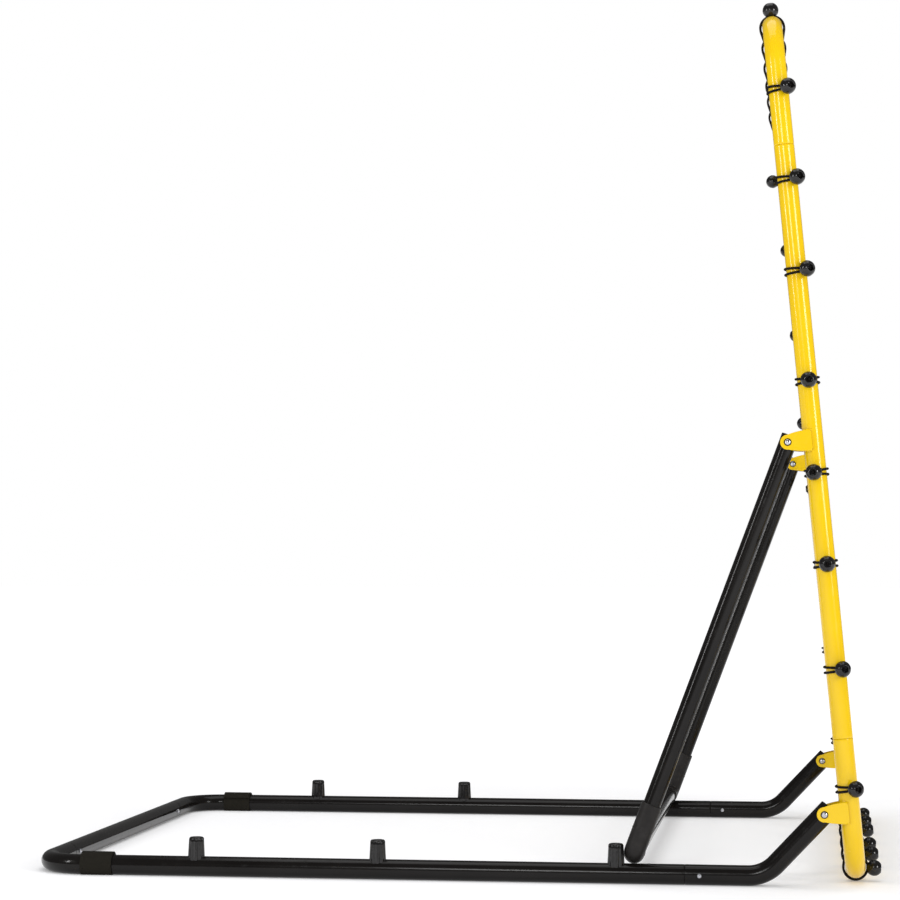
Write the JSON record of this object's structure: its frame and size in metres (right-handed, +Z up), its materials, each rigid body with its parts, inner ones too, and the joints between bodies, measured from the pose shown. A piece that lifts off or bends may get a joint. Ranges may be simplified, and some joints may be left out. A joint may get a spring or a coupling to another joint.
{
  "type": "folding ball rebounder net",
  "caption": "Folding ball rebounder: a net held by ball-ended bungee cords in a leaning yellow tube frame, on a black tube base with a hinged prop and stop pegs.",
  "frame": {"origin": "on the floor, at the middle of the object's length and width", "axes": "+Z up, +X towards the front, the way the net faces, and -Y to the right side"},
  "size_m": [1.3715, 1.0838, 1.4074],
  "materials": {
    "yellow_paint": "gloss powder coat",
    "black_paint": "gloss powder coat",
    "satin_plastic": "satin moulded",
    "gloss_plastic": "gloss moulded",
    "webbing": "woven",
    "zinc_bolts": "bright zinc plated",
    "net_cord": "knotted cord"
  },
  "bodies": {
    "base": {"front_joint_bolt_left": "zinc_bolts", "front_joint_bolt_right": "zinc_bolts", "rail_front_left": "black_paint", "rail_front_right": "black_paint", "rail_left": "black_paint", "rail_right": "black_paint", "rear_crossbar": "black_paint", "rear_joint_bolt_left": "zinc_bolts", "rear_joint_bolt_right": "zinc_bolts", "stop_peg_front_left": "gloss_plastic", "stop_peg_front_right": "gloss_plastic", "stop_peg_middle_left": "gloss_plastic", "stop_peg_middle_right": "gloss_plastic", "stop_peg_rear_left": "gloss_plastic", "stop_peg_rear_right": "gloss_plastic", "strap_left": "webbing", "strap_right": "webbing"},
    "net_frame": {"ball_cord_left_1": "gloss_plastic", "ball_cord_left_2": "gloss_plastic", "ball_cord_left_3": "gloss_plastic", "ball_cord_left_4": "gloss_plastic", "ball_cord_left_5": "gloss_plastic", "ball_cord_left_6": "gloss_plastic", "ball_cord_left_7": "gloss_plastic", "ball_cord_left_8": "gloss_plastic", "ball_cord_lower_1": "gloss_plastic", "ball_cord_lower_2": "gloss_plastic", "ball_cord_lower_3": "gloss_plastic", "ball_cord_lower_4": "gloss_plastic", "ball_cord_lower_5": "gloss_plastic", "ball_cord_lower_6": "gloss_plastic", "ball_cord_right_1": "gloss_plastic", "ball_cord_right_2": "gloss_plastic", "ball_cord_right_3": "gloss_plastic", "ball_cord_right_4": "gloss_plastic", "ball_cord_right_5": "gloss_plastic", "ball_cord_right_6": "gloss_plastic", "ball_cord_right_7": "gloss_plastic", "ball_cord_right_8": "gloss_plastic", "ball_cord_upper_1": "gloss_plastic", "ball_cord_upper_2": "gloss_plastic", "ball_cord_upper_3": "gloss_plastic", "ball_cord_upper_4": "gloss_plastic", "ball_cord_upper_5": "gloss_plastic", "ball_cord_upper_6": "gloss_plastic", "front_pivot_bolt_left": "zinc_bolts", "front_pivot_bolt_right": "zinc_bolts", "lower_tube": "yellow_paint", "net": "net_cord", "post_left": "yellow_paint", "post_right": "yellow_paint", "prop_pivot_bolt_left": "zinc_bolts", "prop_pivot_bolt_right": "zinc_bolts", "upper_tube": "yellow_paint"},
    "prop": {"prop_crossbar": "black_paint", "prop_elbow_left": "satin_plastic", "prop_elbow_right": "satin_plastic", "prop_leg_left": "black_paint", "prop_leg_right": "black_paint"}
  },
  "joints": [
    {"name": "frame_fold", "type": "hinge", "parent": "base", "child": "net_frame", "pos_m": [0.59544, 0, 0.1137], "axis": [0, -1, 0], "range_deg": [0, 84.7]},
    {"name": "prop_swing", "type": "hinge", "parent": "net_frame", "child": "prop", "pos_m": [0.54172, 0, 0.69271], "axis": [0, 1, 0], "range_deg": [0, 149.4]}
  ],
  "couplings": [
    {"joint": "prop_swing", "follows": "frame_fold", "ratio": 1.7626}
  ]
}
